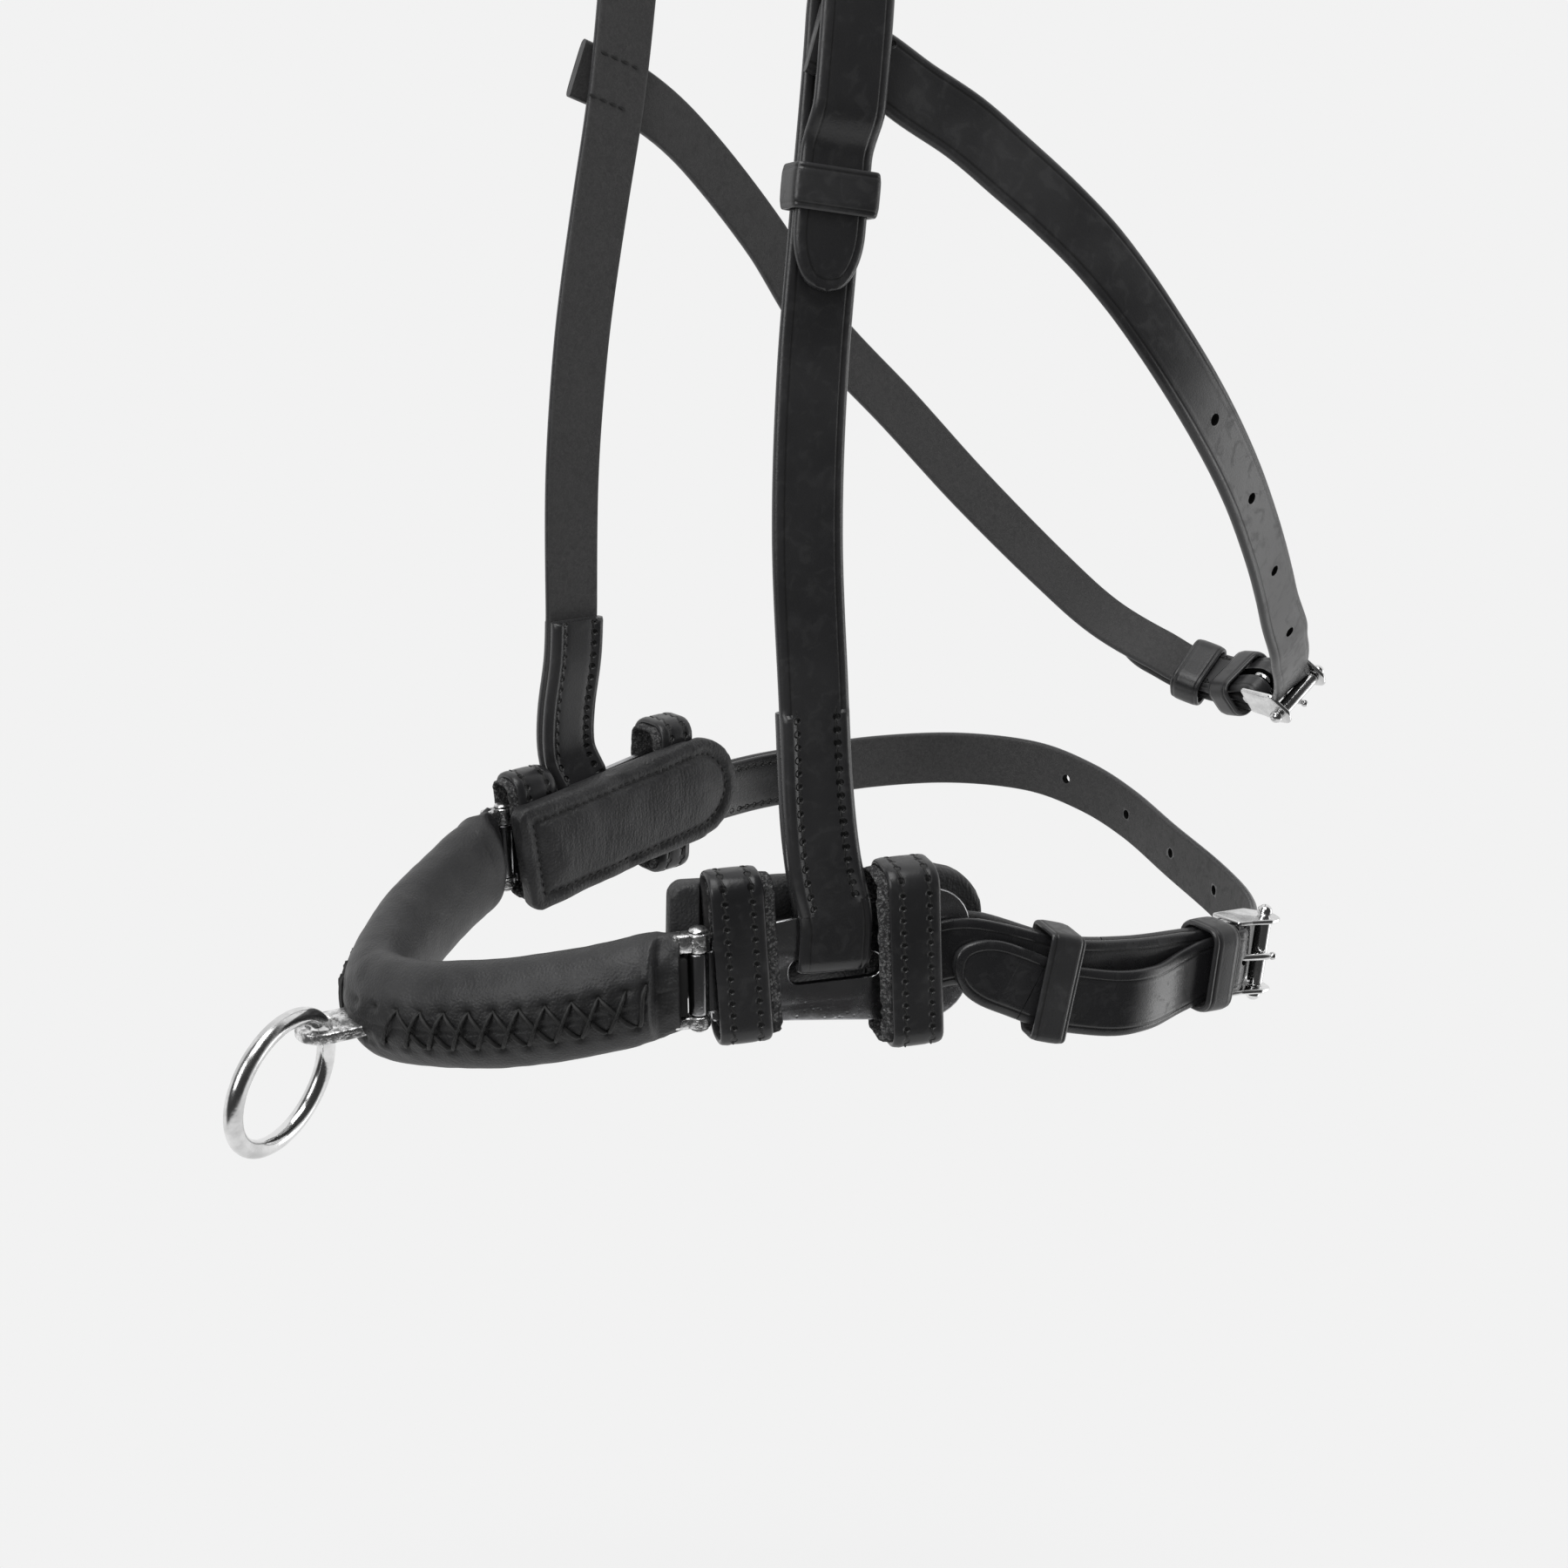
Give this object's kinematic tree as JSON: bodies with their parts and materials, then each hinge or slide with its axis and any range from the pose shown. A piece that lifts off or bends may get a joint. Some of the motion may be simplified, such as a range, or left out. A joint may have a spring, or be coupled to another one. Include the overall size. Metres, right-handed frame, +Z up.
{
  "type": "lunging cavesson",
  "caption": "Horse lunging cavesson: padded hinged nosepiece with a front ring, steel side plates with pads, and buckled cheek, jowl and chin straps.",
  "frame": {"origin": "the poll: underside of the crown strap, in the middle of the head", "axes": "+Z up, -Y towards the horse's nose, +X to the horse's left, the near side"},
  "size_m": [0.1964, 0.3864, 0.4519],
  "materials": {
    "black_leather": "smooth satin grain with polished edges",
    "padded_leather": "soft pebbled",
    "felt": "matte",
    "thread": "waxed",
    "steel": "bright nickel plate, slightly mottled"
  },
  "bodies": {
    "headstall": {"nose_cover": "padded_leather", "nose_padding": "felt", "nose_iron": "steel", "nose_lacing": "thread", "near_hinge_pin": "steel", "far_hinge_pin": "steel", "near_cheek_fold": "black_leather", "far_cheek_fold": "black_leather", "near_cheek_strap": "black_leather", "crown_strap": "black_leather", "cheek_buckle_frame": "steel", "cheek_buckle_pin": "steel", "cheek_fixed_keeper": "black_leather", "far_jowl_strap": "black_leather", "near_jowl_strap": "black_leather", "jowl_buckle_frame": "steel", "jowl_buckle_pin": "steel", "jowl_fixed_keeper": "black_leather", "near_chin_fold": "black_leather", "far_chin_fold": "black_leather", "near_chin_strap": "black_leather", "chin_billet_end": "black_leather", "far_chin_strap": "black_leather", "chin_buckle_frame": "steel", "chin_buckle_pin": "steel", "chin_fixed_keeper": "black_leather"},
    "near_plate": {"near_side_plate": "steel", "near_pad": "padded_leather", "near_front_keeper": "black_leather", "near_rear_keeper": "black_leather"},
    "far_plate": {"far_side_plate": "steel", "far_pad": "padded_leather", "far_front_keeper": "black_leather", "far_rear_keeper": "black_leather"},
    "front_ring": {"front_ring": "steel"},
    "cheek_roller": {"cheek_buckle_roller": "steel"},
    "cheek_tongue": {"cheek_buckle_tongue": "steel"},
    "cheek_slider": {"cheek_sliding_keeper": "black_leather"},
    "jowl_roller": {"jowl_buckle_roller": "steel"},
    "jowl_tongue": {"jowl_buckle_tongue": "steel"},
    "jowl_slider": {"jowl_sliding_keeper": "black_leather"},
    "chin_roller": {"chin_buckle_roller": "steel"},
    "chin_tongue": {"chin_buckle_tongue": "steel"},
    "chin_slider": {"chin_sliding_keeper": "black_leather"}
  },
  "joints": [
    {"name": "near_plate_hinge", "type": "hinge", "parent": "headstall", "child": "near_plate", "pos_m": [0.06616, -0.06565, -0.4], "axis": [0, 0, -1], "range_deg": [-2, 10], "deforming": ["near_cheek_fold", "near_chin_fold", "chin_billet_end"]},
    {"name": "far_plate_hinge", "type": "hinge", "parent": "headstall", "child": "far_plate", "pos_m": [-0.06578, -0.06557, -0.403], "axis": [0, 0, 1], "range_deg": [-3, 10], "deforming": ["far_cheek_fold", "far_chin_fold"]},
    {"name": "front_ring_swing", "type": "hinge", "parent": "headstall", "child": "front_ring", "pos_m": [0, -0.1492, -0.418], "axis": [0, 0, 1], "range_deg": [-100, 50]},
    {"name": "cheek_roller_spin", "type": "hinge", "parent": "headstall", "child": "cheek_roller", "pos_m": [0.05949, -0.01229, -0.08262], "axis": [0.0763, 0.9929, -0.0915], "continuous": true},
    {"name": "cheek_tongue_lift", "type": "hinge", "parent": "headstall", "child": "cheek_tongue", "pos_m": [0.0569, -0.0134, -0.0968], "axis": [0.0763, 0.9929, -0.0915], "range_deg": [0, 4]},
    {"name": "cheek_keeper_slide", "type": "slide", "parent": "headstall", "child": "cheek_slider", "axis": [-0.0705, 0.1431, 0.9872], "range_m": [-0.008, 0.002]},
    {"name": "jowl_roller_spin", "type": "hinge", "parent": "headstall", "child": "jowl_roller", "pos_m": [0.02916, 0.19077, -0.36252], "axis": [-0.0577, 0.8286, 0.5568], "continuous": true},
    {"name": "jowl_tongue_lift", "type": "hinge", "parent": "headstall", "child": "jowl_tongue", "pos_m": [0.01488, 0.1889, -0.36121], "axis": [-0.0577, 0.8286, 0.5568], "range_deg": [0, 4]},
    {"name": "jowl_keeper_slide", "type": "slide", "parent": "headstall", "child": "jowl_slider", "axis": [0.8936, 0.3931, -0.2165], "range_m": [-0.004, 0.001]},
    {"name": "chin_roller_spin", "type": "hinge", "parent": "headstall", "child": "chin_roller", "pos_m": [0.09642, 0.11249, -0.41741], "axis": [0.0142, -0.1022, -0.9947], "continuous": true},
    {"name": "chin_tongue_lift", "type": "hinge", "parent": "headstall", "child": "chin_tongue", "pos_m": [0.09461, 0.09822, -0.41597], "axis": [0.0142, -0.1022, -0.9947], "range_deg": [0, 4]},
    {"name": "chin_keeper_slide", "type": "slide", "parent": "headstall", "child": "chin_slider", "axis": [0.2189, 0.9305, -0.2937], "range_m": [-0.003, 0.002]}
  ]
}
